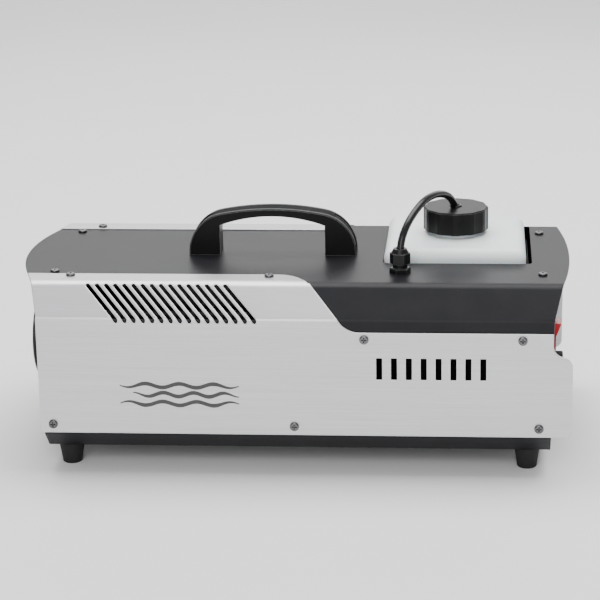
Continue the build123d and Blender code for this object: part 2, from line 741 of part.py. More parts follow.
def gland_seal():
    """Rubber sleeve squeezed round the hose inside the gland nut."""
    with BuildPart() as seal:
        with BuildSketch(Plane.XY.offset(SKIN + 9.0)):
            with Locations(GLAND):
                Circle(6.2)
                Circle(HOSE_R + 0.05, mode=Mode.SUBTRACT)
        extrude(amount=7.0)
    write(seal, "gland_seal")


def gland_locknut():
    with BuildPart() as nut:
        with BuildSketch(Plane.XY.offset(CEILING - 0.1)):
            with Locations(GLAND):
                RegularPolygon(11, 6, major_radius=False)
                Circle(7.0, mode=Mode.SUBTRACT)
        extrude(amount=-4.5)
    write(nut, "gland_locknut")


# The hose's free arch lies in the upright plane through the gland and the middle of the cap.
# Distance from the gland along that plane, and height.
HOSE_ARCH = [(0.0, 187.0), (0.0, 200.4), (12.2, 215.3), (29.2, 225.2), (48.8, 231.8),
             (75.8, 231.7), (103.6, 220.5), (109.0, 206.6)]
# Inside the case the hose drops from the gland and turns in to the pump's elbow.
HOSE_DROP = [(99.15, -64.5, 186.9), (99.4, -64.5, 146.0), (97.0, -72.0, 118.0),
             (84.0, -73.0, 97.5), (66.5, -60.0, 90.8), (63.0, -37.0, 90.9)]


def hose_arch_points():
    """The arch's points in space."""
    reach = math.hypot(CAP_X - GLAND[0], CAP_Y - GLAND[1])
    ux, uy = (CAP_X - GLAND[0]) / reach, (CAP_Y - GLAND[1]) / reach
    return [(GLAND[0] + a * ux, GLAND[1] + a * uy, z) for a, z in HOSE_ARCH]


def route_radii(points):
    """Each corner's arc: 0.45 of its shorter run, divided by the tangent of half its turn."""
    runs = [Vector(*b) - Vector(*a) for a, b in zip(points, points[1:])]
    radii = []
    for a, b in zip(runs, runs[1:]):
        half_turn = math.radians(a.get_angle(b)) / 2
        radii.append(0.45 * min(a.length, b.length) / math.tan(half_turn))
    return radii


def hose(name, points):
    """A round hose along straight runs that tangent arcs join."""
    radii = route_radii(points)
    with BuildPart() as tube:
        with BuildLine():
            route = FilletPolyline(*points, radius=radii)
        with BuildSketch(Plane(origin=route @ 0, z_dir=route % 0)):
            Circle(HOSE_R)
        sweep()
    print(name, "length", round(route.length, 1), "radii", [round(r, 1) for r in radii],
          "volume ratio", round(tube.part.volume / (math.pi * HOSE_R**2 * route.length), 4))
    write(tube, name)


# ---------------------------------------------------------------- nozzle and heater
RING_PCD = 82.0
RING_SCREW_R = 1.45
RING_BASE = FRONT_PLATE - 2.6             # front face of the ring's flange
NOZZLE_PLANE = Plane(origin=(0, 0, NOZZLE_Z), x_dir=(1, 0, 0), z_dir=(0, -1, 0))
NOZZLE_AXIS = Axis((0, 0, NOZZLE_Z), (1, 0, 0))


def nozzle_ring():
    """Round bezel round the nozzle: a flange on the front panel and a slightly flared collar."""
    with BuildPart() as ring:
        with BuildSketch(NOZZLE_PLANE):
            with BuildLine():
                Polyline((FRONT_PLATE - LAP, 33.0), (FRONT_PLATE - LAP, 45.5),
                         (FRONT_PLATE - 2.0, 45.5), (RING_BASE, 44.9), (RING_BASE, 37.2),
                         (NOZZLE_TIP + 1.2, NOZZLE_R), (NOZZLE_TIP, NOZZLE_R - 1.0),
                         (NOZZLE_TIP, NOZZLE_R - 2.2), (RING_BASE, 34.0), close=True)
            make_face()
        revolve(axis=NOZZLE_AXIS)
        with BuildSketch(Plane.YZ.offset(FRONT_PLATE - 4)):
            with Locations((0, NOZZLE_Z)):
                with PolarLocations(RING_PCD / 2, 4, start_angle=45):
                    Circle(RING_SCREW_R + 0.25)
        extrude(amount=6, mode=Mode.SUBTRACT)
    write(ring, "nozzle_ring")


def nozzle_tip():
    """Brass nozzle screwed on the end of the heater's tube."""
    with BuildPart() as tip:
        with BuildSketch(NOZZLE_PLANE):
            with BuildLine():
                Polyline((-207.5, 4.2), (-207.5, 8.0), (-218, 8.0), (-219, 6.6), (-229, 6.6),
                         (-231, 4.6), (-231, 1.0), (-222, 1.0), (-222, 4.2), close=True)
            make_face()
        revolve(axis=NOZZLE_AXIS)
    write(tip, "nozzle_tip")


HEATER_COIL = [(-26, -20), (-180, -20), (-180, 0), (-70, 0), (-70, 20), (-194, 20), (-194, 0),
               (-221.5, 0)]


def heater_route(radius):
    """A round bar along the heater tube's three passes."""
    with BuildLine() as line:
        route = FilletPolyline(*[(x, y, NOZZLE_Z) for x, y in HEATER_COIL], radius=6.5)
    with BuildSketch(Plane(origin=route @ 0, z_dir=route % 0)) as section:
        Circle(radius)
    sweep(section.sketch, path=line.wires()[0])


def heater_tube():
    with BuildPart() as tube:
        heater_route(4.0)
    write(tube, "heater_tube")


def heater_half(name, side):
    """One half of the cast block, with the tube's groove and, below, holes for the elements."""
    with BuildPart() as groove:
        heater_route(4.2)
    with BuildPart() as block:
        with BuildSketch(Plane.XY.offset(NOZZLE_Z + side * 0.1)):
            with Locations(((HEATER_X[0] + HEATER_X[1]) / 2, 0)):
                RectangleRounded(HEATER_X[1] - HEATER_X[0], 2 * HEATER_Y, 4)
        extrude(amount=side * HEATER_Z)
        add(groove.part, mode=Mode.SUBTRACT)
        if side < 0:
            with BuildSketch(Plane.YZ.offset(HEATER_X[1])):
                with Locations((-16, NOZZLE_Z - 15), (16, NOZZLE_Z - 15)):
                    Circle(4.3)
            extrude(amount=-150, mode=Mode.SUBTRACT)
    write(block, name)


def heating_elements():
    """Two cartridge elements with terminal studs."""
    with BuildPart() as rods:
        with BuildSketch(Plane.YZ.offset(HEATER_X[1] - 149)):
            with Locations((-16, NOZZLE_Z - 15), (16, NOZZLE_Z - 15)):
                Circle(4.1)
        extrude(amount=158)
        with BuildSketch(Plane.YZ.offset(HEATER_X[1] + 9)):
            with Locations((-16, NOZZLE_Z - 15), (16, NOZZLE_Z - 15)):
                Circle(1.5)
        extrude(amount=8)
    write(rods, "heating_elements")


def heater_insulation():
    """Glass-fibre sleeve round the heater block, open at both ends."""
    with BuildPart() as sleeve:
        with BuildSketch(Plane.YZ.offset(HEATER_X[0] - 1)):
            with Locations((0, NOZZLE_Z)):
                RectangleRounded(2 * HEATER_Y + 18, 2 * HEATER_Z + 18, 8)
                RectangleRounded(2 * HEATER_Y + 0.6, 2 * HEATER_Z + 0.8, 1, mode=Mode.SUBTRACT)
        extrude(amount=HEATER_X[1] - HEATER_X[0] + 2)
    write(sleeve, "heater_insulation")


def heater_brackets():
    """Two folded saddles between the tray and the heater."""
    top = NOZZLE_Z - HEATER_Z - 9.1
    with BuildPart() as saddles:
        with BuildSketch(Plane.YZ.offset(-192), Plane.YZ.offset(-82)):
            bent_sheet([(-62, FLOOR + 0.1), (-40, FLOOR + 0.1), (-40, top - 1.5), (40, top - 1.5),
                        (40, FLOOR + 0.1), (62, FLOOR + 0.1)], [3.5, 2, 2, 3.5],
                       [(-62, FLOOR + 1.6), (-41.5, FLOOR + 1.6), (-41.5, top), (41.5, top),
                        (41.5, FLOOR + 1.6), (62, FLOOR + 1.6)], [2, 3.5, 3.5, 2])
        extrude(amount=24)
    write(saddles, "heater_brackets")


def heat_shield():
    """Bright inverted-U sheet between the heater and the cover."""
    with BuildPart() as shield:
        with BuildSketch(Plane.YZ.offset(HEATER_X[0] - 6)):
            bent_sheet([(-72, FLOOR + 0.1), (-72, 140), (72, 140), (72, FLOOR + 0.1)], [8, 8],
                       [(-71.2, FLOOR + 0.1), (-71.2, 139.2), (71.2, 139.2), (71.2, FLOOR + 0.1)],
                       [7.2, 7.2])
        extrude(amount=HEATER_X[1] - HEATER_X[0] + 12)
    write(shield, "heat_shield")


def thermostat():
    """Snap-disc thermostat on the rear end of the heater block, with two blade terminals."""
    x = HEATER_X[1] + 0.1
    with BuildPart() as disc:
        with BuildSketch(Plane.YZ.offset(x)):
            with Locations((12, NOZZLE_Z + 14)):
                Circle(8)
        extrude(amount=7)
        with BuildSketch(Plane.YZ.offset(x + 7)):
            with Locations((9, NOZZLE_Z + 14), (15, NOZZLE_Z + 14)):
                Rectangle(0.8, 5)
        extrude(amount=8)
    write(disc, "thermostat")


def thermal_fuse():
    """Thermal cut-out in its clip on the rear end of the heater block."""
    x = HEATER_X[1] + 0.1
    with BuildPart() as fuse:
        with BuildSketch(Plane.YZ.offset(x)):
            with Locations((-12, NOZZLE_Z + 16)):
                Rectangle(18, 8)
        extrude(amount=1)
        with BuildSketch(Plane.XZ.offset(4)):
            with Locations((x + 3.4, NOZZLE_Z + 16)):
                Circle(2.6)
        extrude(amount=16)
    write(fuse, "thermal_fuse")


# ---------------------------------------------------------------- pump
def pump_core():
    """Brass guide tube of the pump, with its outlet and inlet ends."""
    y, z = PUMP
    with BuildPart() as core:
        with BuildSketch(Plane.YZ.offset(-8)):
            with Locations((y, z)):
                Circle(6)
                Circle(4.6, mode=Mode.SUBTRACT)
        extrude(amount=62)
        with BuildSketch(Plane.YZ.offset(-12)):
            with Locations((y, z)):
                RegularPolygon(8, 6)
                Circle(2, mode=Mode.SUBTRACT)
        extrude(amount=4)
        with BuildSketch(Plane.YZ.offset(54)):
            with Locations((y, z)):
                RegularPolygon(8, 6)
                Circle(2, mode=Mode.SUBTRACT)
        extrude(amount=4)
    write(core, "pump_core")


def pump_coil():
    y, z = PUMP
    with BuildPart() as coil:
        with BuildSketch(Plane.YZ.offset(PUMP_COIL[0])):
            with Locations((y, z)):
                RectangleRounded(38, 38, 8)
                Circle(6.1, mode=Mode.SUBTRACT)
        extrude(amount=PUMP_COIL[1] - PUMP_COIL[0])
    write(coil, "pump_coil")


def pump_yoke():
    """Steel yoke round the coil, which carries the magnetic flux."""
    y, z = PUMP
    low, high = PUMP_COIL
    with BuildPart() as yoke:
        with BuildSketch(Plane.XZ.offset(-y - 17)):
            with Locations(((low + high) / 2, z)):
                Rectangle(high - low + 4.4, 42.8)
                Rectangle(high - low + 0.4, 38.8, mode=Mode.SUBTRACT)
        extrude(amount=34)
        with BuildSketch(Plane.YZ.offset(low - 5)):
            with Locations((y, z)):
                Circle(6.1)
        extrude(amount=high - low + 10, mode=Mode.SUBTRACT)
    write(yoke, "pump_yoke")


def pump_plunger():
    """Steel plunger that the coil drives along the core."""
    y, z = PUMP
    with BuildPart() as plunger:
        with BuildSketch(Plane.YZ.offset(16)):
            with Locations((y, z)):
                Circle(4.4)
                Circle(1.2, mode=Mode.SUBTRACT)
        extrude(amount=22)
    write(plunger, "pump_plunger")


def pump_spring():
    """Return spring between the plunger and the outlet end, as a plain sleeve of its outer size."""
    y, z = PUMP
    with BuildPart() as spring:
        with BuildSketch(Plane.YZ.offset(-7.8)):
            with Locations((y, z)):
                Circle(4.2)
                Circle(3.4, mode=Mode.SUBTRACT)
        extrude(amount=23.6)
    write(spring, "pump_spring")


def pump_elbow():
    """Barbed inlet elbow, which turns from the pump's axis to the suction hose."""
    y, z = PUMP
    with BuildPart() as elbow:
        with BuildSketch(Plane.XY.offset(z - 5)):
            with Locations((63, y)):
                Rectangle(9.8, 12)
        extrude(amount=10)
        with BuildSketch(Plane.XZ.offset(-y + 6)):
            with Locations((63, z)):
                Circle(2.6)
        extrude(amount=10.2)
    write(elbow, "pump_elbow")


def pump_bracket():
    """Folded bracket that carries the pump's yoke on two rubber buffers."""
    y, z = PUMP
    low = z - 21.4
    with BuildPart() as bracket:
        with BuildSketch(Plane.XZ.offset(-y - 14)):
            bent_sheet([(0, FLOOR + 0.1), (0, low - 10.2), (52, low - 10.2), (52, FLOOR + 0.1)],
                       [3, 3],
                       [(1.5, FLOOR + 0.1), (1.5, low - 11.7), (50.5, low - 11.7),
                        (50.5, FLOOR + 0.1)], [1.5, 1.5])
        extrude(amount=28)
    write(bracket, "pump_bracket")


def pump_buffers():
    y, z = PUMP
    low = z - 21.4
    with BuildPart() as buffers:
        with BuildSketch(Plane.XY.offset(low - 10.1)):
            with Locations((14, y), (38, y)):
                Circle(6)
        extrude(amount=10)
        groove = 3.0
        with BuildSketch(Plane.XY.offset(low - 10.1 + (10 - groove) / 2)):
            with Locations((14, y), (38, y)):
                Circle(7)
                Circle(4.6, mode=Mode.SUBTRACT)
        extrude(amount=groove, mode=Mode.SUBTRACT)
    write(buffers, "pump_buffers")


def feed_fitting():
    """Compression fitting between the pump's outlet and the heater's tube."""
    y, z = PUMP
    with BuildPart() as fitting:
        with BuildSketch(Plane.YZ.offset(-25.9)):
            with Locations((y, z)):
                RegularPolygon(7, 6)
        extrude(amount=13.8)
        with BuildSketch(Plane.YZ.offset(-30)):
            with Locations((y, z)):
                RegularPolygon(6.5, 6)
                Circle(4.1, mode=Mode.SUBTRACT)
        extrude(amount=4.1)
    write(fitting, "feed_fitting")


# ---------------------------------------------------------------- electronics
BOARD = (132.0, -80.0, 38.0)              # middle of the board's underside
BOARD_SIZE = (92.0, 58.0)


def board_corners():
    dx, dy = BOARD_SIZE[0] / 2 - 5, BOARD_SIZE[1] / 2 - 5
    return [(BOARD[0] + sx * dx, BOARD[1] + sy * dy) for sx in (-1, 1) for sy in (-1, 1)]


def control_board():
    with BuildPart() as board:
        with BuildSketch(Plane.XY.offset(BOARD[2])):
            with Locations(BOARD[:2]):
                RectangleRounded(*BOARD_SIZE, 2)
            with Locations(*board_corners()):
                Circle(1.7, mode=Mode.SUBTRACT)
        extrude(amount=1.6)
    write(board, "control_board")


def board_standoffs():
    with BuildPart() as posts:
        with BuildSketch(Plane.XY.offset(FLOOR + 0.05)):
            with Locations(*board_corners()):
                RegularPolygon(3.5, 6)
        extrude(amount=BOARD[2] - FLOOR - 0.1)
    write(posts, "board_standoffs")


def board_block(name, places, size, round_over):
    """Box-shaped components that stand on the board."""
    with BuildPart() as blocks:
        with BuildSketch(Plane.XY.offset(BOARD[2] + 1.65)):
            with Locations(*[(BOARD[0] + x, BOARD[1] + y) for x, y in places]):
                RectangleRounded(size[0], size[1], round_over)
        extrude(amount=size[2])
        chamfer(blocks.edges().group_by(Axis.Z)[-1], 0.5)
    write(blocks, name)


def terminal_block():
    """Row of screw terminals at the board's rear edge."""
    ways = 5
    pitch = 7.5
    with BuildPart() as block:
        with BuildSketch(Plane.XY.offset(BOARD[2] + 1.65)):
            with Locations((BOARD[0] + 34, BOARD[1])):
                Rectangle(9, ways * pitch)
        extrude(amount=12)
        chamfer(block.edges().group_by(Axis.Z)[-1].filter_by(Axis.Y), 2)
        with BuildSketch(Plane.XY.offset(BOARD[2] + 8)):
            with Locations(*[(BOARD[0] + 34, BOARD[1] + (i - (ways - 1) / 2) * pitch)
                             for i in range(ways)]):
                Circle(2)
        extrude(amount=8, mode=Mode.SUBTRACT)
    write(block, "terminal_block")


# ---------------------------------------------------------------- tank bay and rear fittings
def tank_bay():
    """Open-topped sheet-metal bay that the tank stands in."""
    wall = 1.0
    x0, x1 = TANK_X[0] - 3.0, TANK_X[1] + 3.2
    y0, y1 = TANK_Y[0] - 3.4, TANK_Y[1] + 3.0
    low, high = TANK_Z[0] - wall - LAP, 160.0
    with BuildPart() as bay:
        with Locations(((x0 + x1) / 2, (y0 + y1) / 2, low)):
            Box(x1 - x0, y1 - y0, high - low, align=(Align.CENTER, Align.CENTER, Align.MIN))
        with Locations(((x0 + x1) / 2, (y0 + y1) / 2, low + wall)):
            Box(x1 - x0 - 2 * wall, y1 - y0 - 2 * wall, high - low,
                align=(Align.CENTER, Align.CENTER, Align.MIN), mode=Mode.SUBTRACT)
    write(bay, "tank_bay")


ROCKER_HALF = 13.3                        # pivot to the rocker's end
ROCKER_WIDE = 18.0
ROCKER_FACE = 5.0                         # pivot to the middle ridge of the rocker's face


def rocker_pivot():
    return (REAR_PLATE + 0.4, SWITCH[0], SWITCH[1])


def switch_body():
    """Switch housing: a bezel on the rear panel, an open front and three blade terminals."""
    with BuildPart() as housing:
        with BuildSketch(Plane.YZ.offset(REAR_PLATE - 20)):
            with Locations(SWITCH):
                Rectangle(21.6, 28.0)
        extrude(amount=20.05)
        with BuildSketch(Plane.YZ.offset(REAR_PLATE + 0.05)):
            with Locations(SWITCH):
                RectangleRounded(25.0, 32.0, 1.5)
        extrude(amount=2.2)
        chamfer(housing.edges().group_by(Axis.X)[-1], 0.8)
        with BuildSketch(Plane.YZ.offset(REAR_PLATE - 13)):
            with Locations(SWITCH):
                Rectangle(19.2, 28.0 - 0.6)
        extrude(amount=20, mode=Mode.SUBTRACT)
        with BuildSketch(Plane.YZ.offset(REAR_PLATE - 20)):
            with Locations((SWITCH[0], SWITCH[1] - 9), SWITCH, (SWITCH[0], SWITCH[1] + 9)):
                Rectangle(6.3, 0.8)
        extrude(amount=-8)
    write(housing, "switch_body")


def power_rocker():
    """Red rocker with a V-shaped face; its upper end stands out."""
    half = math.radians(ROCKER_LEAN)
    rise = ROCKER_HALF * math.tan(half)
    x, y, z = rocker_pivot()
    with BuildPart() as rocker:
        with BuildSketch(Plane.XZ):
            with BuildLine():
                Polyline((ROCKER_FACE + rise, ROCKER_HALF), (ROCKER_FACE, 0),
                         (ROCKER_FACE + rise, -ROCKER_HALF), (-1.5, -ROCKER_HALF + 1.4),
                         (-5, -4), (-5, 4), (-1.5, ROCKER_HALF - 1.4), close=True)
            make_face()
            fillet(vertices().filter_by(lambda v: v.X > 7), 0.8)
        extrude(amount=ROCKER_WIDE / 2, both=True)
        chamfer(rocker.edges().filter_by(lambda e: e.center().X > 4 and abs(e.center().Y) > 8), 0.5)
        with Locations(Location((0, 0, 0), (90, 0, 0))):
            Cylinder(1.5, ROCKER_WIDE + 0.8)
    rocker.part = rocker.part.rotate(Axis.Y, ROCKER_LEAN).translate((x, y, z))
    write(rocker, "power_rocker")


def inlet_socket():
    """Mains inlet: a flange with two screw holes and a deep recess."""
    with BuildPart() as socket:
        with BuildSketch(Plane.YZ.offset(REAR_PLATE - 18)):
            with Locations(INLET):
                RectangleRounded(27.2, 20.2, 3)
        extrude(amount=18.05)
        with BuildSketch(Plane.YZ.offset(REAR_PLATE + 0.05)):
            with Locations(INLET):
                RectangleRounded(50, 28, 8)
        extrude(amount=2.5)
        with BuildSketch(Plane.YZ.offset(REAR_PLATE - 14)):
            with Locations(INLET):
                RectangleRounded(24.2, 16.4, 3)
        extrude(amount=20, mode=Mode.SUBTRACT)
        with BuildSketch(Plane.YZ.offset(REAR_PLATE - 1)):
            with Locations((INLET[0] - 20, INLET[1]), (INLET[0] + 20, INLET[1])):
                Circle(RING_SCREW_R + 0.25)
        extrude(amount=6, mode=Mode.SUBTRACT)
        with BuildSketch(Plane.YZ.offset(REAR_PLATE - 19)):
            with Locations(*inlet_pin_places()):
                Rectangle(2.1, 4.1)
        extrude(amount=6, mode=Mode.SUBTRACT)
    write(socket, "inlet_socket")


def inlet_pin_places():
    return [(INLET[0] - 7, INLET[1] - 2), (INLET[0] + 7, INLET[1] - 2), (INLET[0], INLET[1] + 2)]


def inlet_pins():
    with BuildPart() as pins:
        with BuildSketch(Plane.YZ.offset(REAR_PLATE - 26)):
            with Locations(*inlet_pin_places()):
                Rectangle(2, 4)
        extrude(amount=24)
    write(pins, "inlet_pins")


def fuse_holder():
    """Panel fuse holder with a threaded barrel and a nut inside the case."""
    with BuildPart() as holder:
        with BuildSketch(Plane.YZ.offset(REAR_PLATE - 30)):
            with Locations(FUSE):
                Circle(6.3)
        extrude(amount=30.05)
        with BuildSketch(Plane.YZ.offset(REAR_PLATE + 0.05)):
            with Locations(FUSE):
                Circle(8.5)
        extrude(amount=2.0)
        with BuildSketch(Plane.YZ.offset(REAR_PLATE - 26)):
            with Locations(FUSE):
                Circle(4.6)
        extrude(amount=40, mode=Mode.SUBTRACT)
        with BuildSketch(Plane.YZ.offset(REAR_PLATE - BLACK - 4.1)):
            with Locations(FUSE):
                RegularPolygon(9.5, 6)
                Circle(6.2, mode=Mode.SUBTRACT)
        extrude(amount=4)
    write(holder, "fuse_holder")


def fuse_cap():
    """Cap that turns to release the fuse: a stem in the holder and a slotted knob."""
    with BuildPart() as cap:
        with BuildSketch(Plane.YZ.offset(REAR_PLATE + 2.3)):
            with Locations(FUSE):
                Circle(6.6)
        extrude(amount=8)
        fillet(cap.edges().group_by(Axis.X)[-1], 1.2)
        with BuildSketch(Plane.YZ.offset(REAR_PLATE + 2.3)):
            with Locations(FUSE):
                Circle(4.3)
        extrude(amount=-12)
        with BuildSketch(Plane.YZ.offset(REAR_PLATE + 9.1)):
            with Locations(FUSE):
                Rectangle(14, 1.4)
        extrude(amount=4, mode=Mode.SUBTRACT)
    write(cap, "fuse_cap")


def glass_fuse():
    with BuildPart() as fuse:
        with BuildSketch(Plane.YZ.offset(REAR_PLATE - 25.8)):
            with Locations(FUSE):
                Circle(2.6)
        extrude(amount=16)
    write(fuse, "glass_fuse")


def remote_socket():
    """Round socket for the wired remote control, with its nut inside the case."""
    with BuildPart() as socket:
        with BuildSketch(Plane.YZ.offset(REAR_PLATE - 12)):
            with Locations(REMOTE):
                Circle(8.0)
        extrude(amount=12.05)
        with BuildSketch(Plane.YZ.offset(REAR_PLATE + 0.05)):
            with Locations(REMOTE):
                Circle(10.5)
        extrude(amount=2.5)
        chamfer(socket.edges().group_by(Axis.X)[-1], 0.6)
        with BuildSketch(Plane.YZ.offset(REAR_PLATE - 6)):
            with Locations(REMOTE):
                Circle(6.6)
        extrude(amount=12, mode=Mode.SUBTRACT)
        with BuildSketch(Plane.YZ.offset(REAR_PLATE - 6)):
            with Locations(REMOTE):
                with PolarLocations(3.6, 5):
                    Circle(0.7)
        extrude(amount=5)
        with BuildSketch(Plane.YZ.offset(REAR_PLATE - BLACK - 3.1)):
            with Locations(REMOTE):
                RegularPolygon(11, 6)
                Circle(7.9, mode=Mode.SUBTRACT)
        extrude(amount=3)
    write(socket, "remote_socket")


# ---------------------------------------------------------------- make every piece
top_cover()
side_panel("left_side_panel", -1)
side_panel("right_side_panel", 1)
base_tray()
front_panel()
rear_panel()
fasteners()
foot_nuts()
rubber_feet()
handle()
handle_grip()
handle_screws()
tank()
tank_cap()
cap_bush()
pickup_tube()
pickup_filter()
gland_body()
gland_nut()
gland_seal()
gland_locknut()
hose("fluid_hose", hose_arch_points())
hose("suction_hose", HOSE_DROP)
nozzle_ring()
nozzle_tip()
heater_tube()
heater_half("heater_upper_half", 1)
heater_half("heater_lower_half", -1)
heating_elements()
heater_insulation()
heater_brackets()
heat_shield()
thermostat()
thermal_fuse()
pump_core()
pump_coil()
pump_yoke()
pump_plunger()
pump_spring()
pump_elbow()
pump_bracket()
pump_buffers()
feed_fitting()
control_board()
board_standoffs()
board_block("transformer", [(-26, 4)], (30, 34, 26), 2)
board_block("relays", [(4, -16), (4, 12)], (20, 16, 16), 1)
terminal_block()
tank_bay()
switch_body()
power_rocker()
inlet_socket()
inlet_pins()
fuse_holder()
fuse_cap()
glass_fuse()
remote_socket()
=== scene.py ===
import json
import math

import bmesh
import bpy
from mathutils import Matrix, Vector


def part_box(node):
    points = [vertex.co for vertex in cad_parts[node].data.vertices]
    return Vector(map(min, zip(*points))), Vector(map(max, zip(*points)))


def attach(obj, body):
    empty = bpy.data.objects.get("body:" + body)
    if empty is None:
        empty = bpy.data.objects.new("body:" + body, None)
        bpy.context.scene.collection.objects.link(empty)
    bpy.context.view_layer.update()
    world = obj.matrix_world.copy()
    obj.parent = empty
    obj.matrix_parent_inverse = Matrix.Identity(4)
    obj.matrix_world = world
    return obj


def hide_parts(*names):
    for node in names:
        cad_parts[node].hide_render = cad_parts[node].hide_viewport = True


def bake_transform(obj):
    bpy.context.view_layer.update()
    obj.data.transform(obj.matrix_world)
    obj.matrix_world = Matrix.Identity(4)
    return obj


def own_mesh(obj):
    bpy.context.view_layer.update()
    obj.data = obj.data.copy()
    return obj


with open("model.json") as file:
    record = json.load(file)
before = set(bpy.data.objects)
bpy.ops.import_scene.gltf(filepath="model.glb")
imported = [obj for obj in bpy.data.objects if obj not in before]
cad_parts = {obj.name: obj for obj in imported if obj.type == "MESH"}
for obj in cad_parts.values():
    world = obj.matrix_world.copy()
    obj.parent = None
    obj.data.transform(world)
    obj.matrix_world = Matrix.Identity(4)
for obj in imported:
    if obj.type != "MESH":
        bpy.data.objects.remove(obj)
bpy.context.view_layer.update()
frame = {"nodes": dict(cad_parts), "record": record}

# Fog machine.  Metres, the same frame as the CAD: +X to the rear panel, -X the way the fog leaves,
# -Y the side with the control board, +Z up, origin at floor level below the middle of the case.

MM = 0.001


# ---------------------------------------------------------------- camera
EYE = (0.17268, -1.87816, 0.70848)
LENS = 124.7                     # focal length in millimetres, on a sensor 36 mm wide
SHIFT = (-0.0915, -0.0492)       # sideways and upright shift, as parts of the sensor's width
PITCH, YAW, ROLL = math.radians(16.35), math.radians(-3.62), math.radians(-0.66)


def make_camera():
    """The photograph's viewpoint: a long lens before the left side, looking down 16 degrees."""
    data = bpy.data.cameras.new("camera")
    data.sensor_width = 36.0
    data.lens = LENS
    data.shift_x, data.shift_y = SHIFT
    data.clip_start, data.clip_end = 0.05, 40
    camera = bpy.data.objects.new("camera", data)
    bpy.context.scene.collection.objects.link(camera)
    forward = Vector((math.sin(YAW) * math.cos(PITCH), math.cos(YAW) * math.cos(PITCH),
                      -math.sin(PITCH)))
    right = Vector((math.cos(YAW), -math.sin(YAW), 0))
    up = right.cross(forward)
    right_rolled = right * math.cos(ROLL) + up * math.sin(ROLL)
    up_rolled = up * math.cos(ROLL) - right * math.sin(ROLL)
    turn = Matrix((right_rolled, up_rolled, -forward)).transposed()
    camera.matrix_world = Matrix.Translation(EYE) @ turn.to_4x4()
    bpy.context.scene.camera = camera


make_camera()


# ---------------------------------------------------------------- procedural finishes
EDGE_LEAN = (0.02, 0.12)         # how far a rounded normal leans where an edge starts and is full
PAINTED_SHADE_LEVEL = 0.06               # brightness of the painted shade in recesses and along joints
BAND_SHADE = 0.86                # brightness of the broad bands in brushed metal
# colour of the brushed metal's edges: part wear, part painted highlight
SILVER_EDGE_WEAR_AND_HIGHLIGHT = (0.93, 0.93, 0.93)


def new_material(name):
    """An empty material, its node tree and its shader."""
    made = bpy.data.materials.new(name)
    made.use_nodes = True
    tree = made.node_tree
    return made, tree, tree.nodes["Principled BSDF"]


def noise(tree, scale, detail=3.0, stretch=(1, 1, 1), rough=0.5):
    """Noise over the piece's own coordinates, in metres; stretch squeezes it along an axis."""
    place = tree.nodes.new("ShaderNodeTexCoord")
    mapping = tree.nodes.new("ShaderNodeMapping")
    mapping.inputs["Scale"].default_value = stretch
    made = tree.nodes.new("ShaderNodeTexNoise")
    made.inputs["Scale"].default_value = scale
    made.inputs["Detail"].default_value = detail
    made.inputs["Roughness"].default_value = rough
    tree.links.new(place.outputs["Object"], mapping.inputs["Vector"])
    tree.links.new(mapping.outputs["Vector"], made.inputs["Vector"])
    return made.outputs["Fac"]


def remap(tree, value, low, high, start=0.3, end=0.7):
    """Stretches the value from start..end, where most noise lies, to low..high."""
    made = tree.nodes.new("ShaderNodeMapRange")
    for socket, number in (("From Min", start), ("From Max", end),
                           ("To Min", low), ("To Max", high)):
        made.inputs[socket].default_value = number
    tree.links.new(value, made.inputs["Value"])
    return made.outputs["Result"]


def blend_colours(tree, factor, first, second):
    """Goes from first to second with the factor; each is a colour or a colour socket."""
    made = tree.nodes.new("ShaderNodeMix")
    made.data_type = "RGBA"
    tree.links.new(factor, made.inputs["Factor"])
    for socket, value in ((made.inputs[6], first), (made.inputs[7], second)):
        if isinstance(value, bpy.types.NodeSocket):
            tree.links.new(value, socket)
        else:
            socket.default_value = (*value, 1)
    return made.outputs[2]


def edge_mask(tree, radius):
    """A mask that is 1 along the piece's edges and 0 on its faces, and the rounded normal."""
    soft = tree.nodes.new("ShaderNodeBevel")
    soft.samples = 6
    soft.inputs["Radius"].default_value = radius
    hard = tree.nodes.new("ShaderNodeNewGeometry")
    dot = tree.nodes.new("ShaderNodeVectorMath")
    dot.operation = "DOT_PRODUCT"
    tree.links.new(soft.outputs["Normal"], dot.inputs[0])
    tree.links.new(hard.outputs["Normal"], dot.inputs[1])
    mask = remap(tree, dot.outputs["Value"], 1.0, 0.0, 1 - EDGE_LEAN[1], 1 - EDGE_LEAN[0])
    return mask, soft.outputs["Normal"]


def painted_crevice_shade(tree, distance):
    """A painted-shade mask from ambient occlusion: 1 on open surfaces, falling to 0 in recesses
    and along joints.
    """
    made = tree.nodes.new("ShaderNodeAmbientOcclusion")
    made.samples = 8
    made.inputs["Distance"].default_value = distance
    return remap(tree, made.outputs["AO"], 0.0, 1.0, 0.35, 0.9)


def bump(tree, height, strength, depth, normal):
    """The normal with the height's relief on it; depth is in metres."""
    made = tree.nodes.new("ShaderNodeBump")
    made.inputs["Strength"].default_value = strength
    made.inputs["Distance"].default_value = depth
    tree.links.new(height, made.inputs["Height"])
    tree.links.new(normal, made.inputs["Normal"])
    return made.outputs["Normal"]


